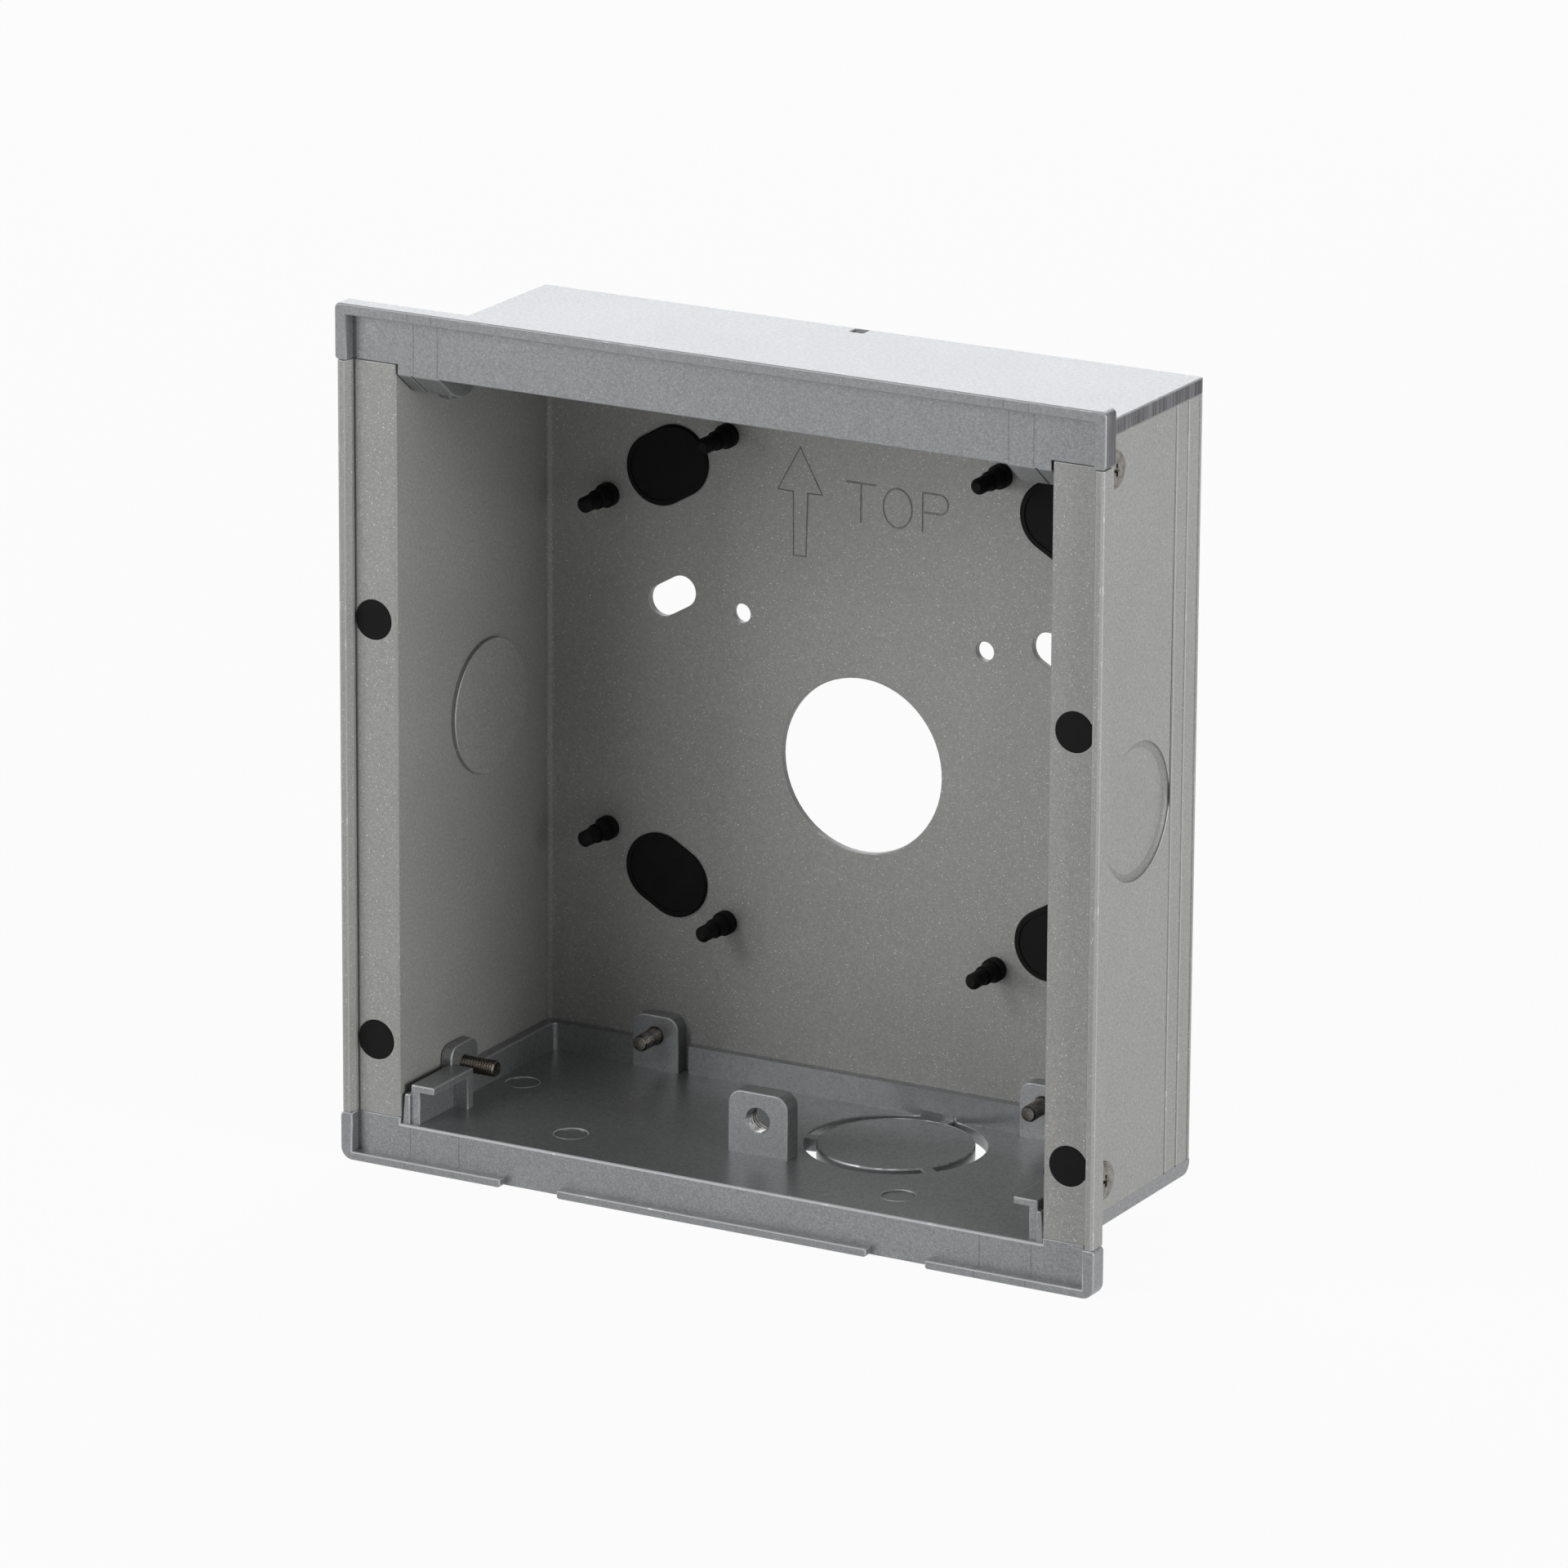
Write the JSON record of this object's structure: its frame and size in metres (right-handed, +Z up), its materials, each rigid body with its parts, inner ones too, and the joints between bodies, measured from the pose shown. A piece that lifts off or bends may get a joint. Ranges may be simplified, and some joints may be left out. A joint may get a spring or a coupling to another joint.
{
  "type": "flush back box",
  "caption": "Square metal flush-mounting back box: extruded body with front flange, cast end caps, rear cable hole, fixing slots, knock-outs and rubber plugs.",
  "frame": {"origin": "middle of the box's width and depth, at the height of the bottom rim's lower edge", "axes": "+Z up, +Y into the wall from the open front to the back wall, +X to the right as seen from the open front"},
  "size_m": [0.15, 0.0552, 0.156],
  "materials": {
    "extrusion_paint": "silver metallic powder coat on aluminium",
    "cap_paint": "silver metallic powder coat on cast aluminium",
    "screw_steel": "plain stainless steel",
    "plug_rubber": "matt black"
  },
  "bodies": {
    "root": {"body_extrusion": "extrusion_paint", "top_cap": "cap_paint", "bottom_cap": "cap_paint", "side_screw_top_left": "screw_steel", "side_screw_top_right": "screw_steel", "side_screw_bottom_left": "screw_steel", "side_screw_bottom_right": "screw_steel", "rear_screw_top_left": "screw_steel", "rear_screw_top_right": "screw_steel", "rear_screw_bottom_left": "screw_steel", "rear_screw_bottom_right": "screw_steel", "cable_plug_top_left": "plug_rubber", "cable_plug_top_right": "plug_rubber", "cable_plug_bottom_left": "plug_rubber", "cable_plug_bottom_right": "plug_rubber", "pin_plug_top_left_outer": "plug_rubber", "pin_plug_top_left_inner": "plug_rubber", "pin_plug_top_right_outer": "plug_rubber", "pin_plug_top_right_inner": "plug_rubber", "pin_plug_bottom_left_outer": "plug_rubber", "pin_plug_bottom_left_inner": "plug_rubber", "pin_plug_bottom_right_outer": "plug_rubber", "pin_plug_bottom_right_inner": "plug_rubber", "flange_plug_top_left": "plug_rubber", "flange_plug_top_right": "plug_rubber", "flange_plug_bottom_left": "plug_rubber", "flange_plug_bottom_right": "plug_rubber"}
  },
  "joints": []
}
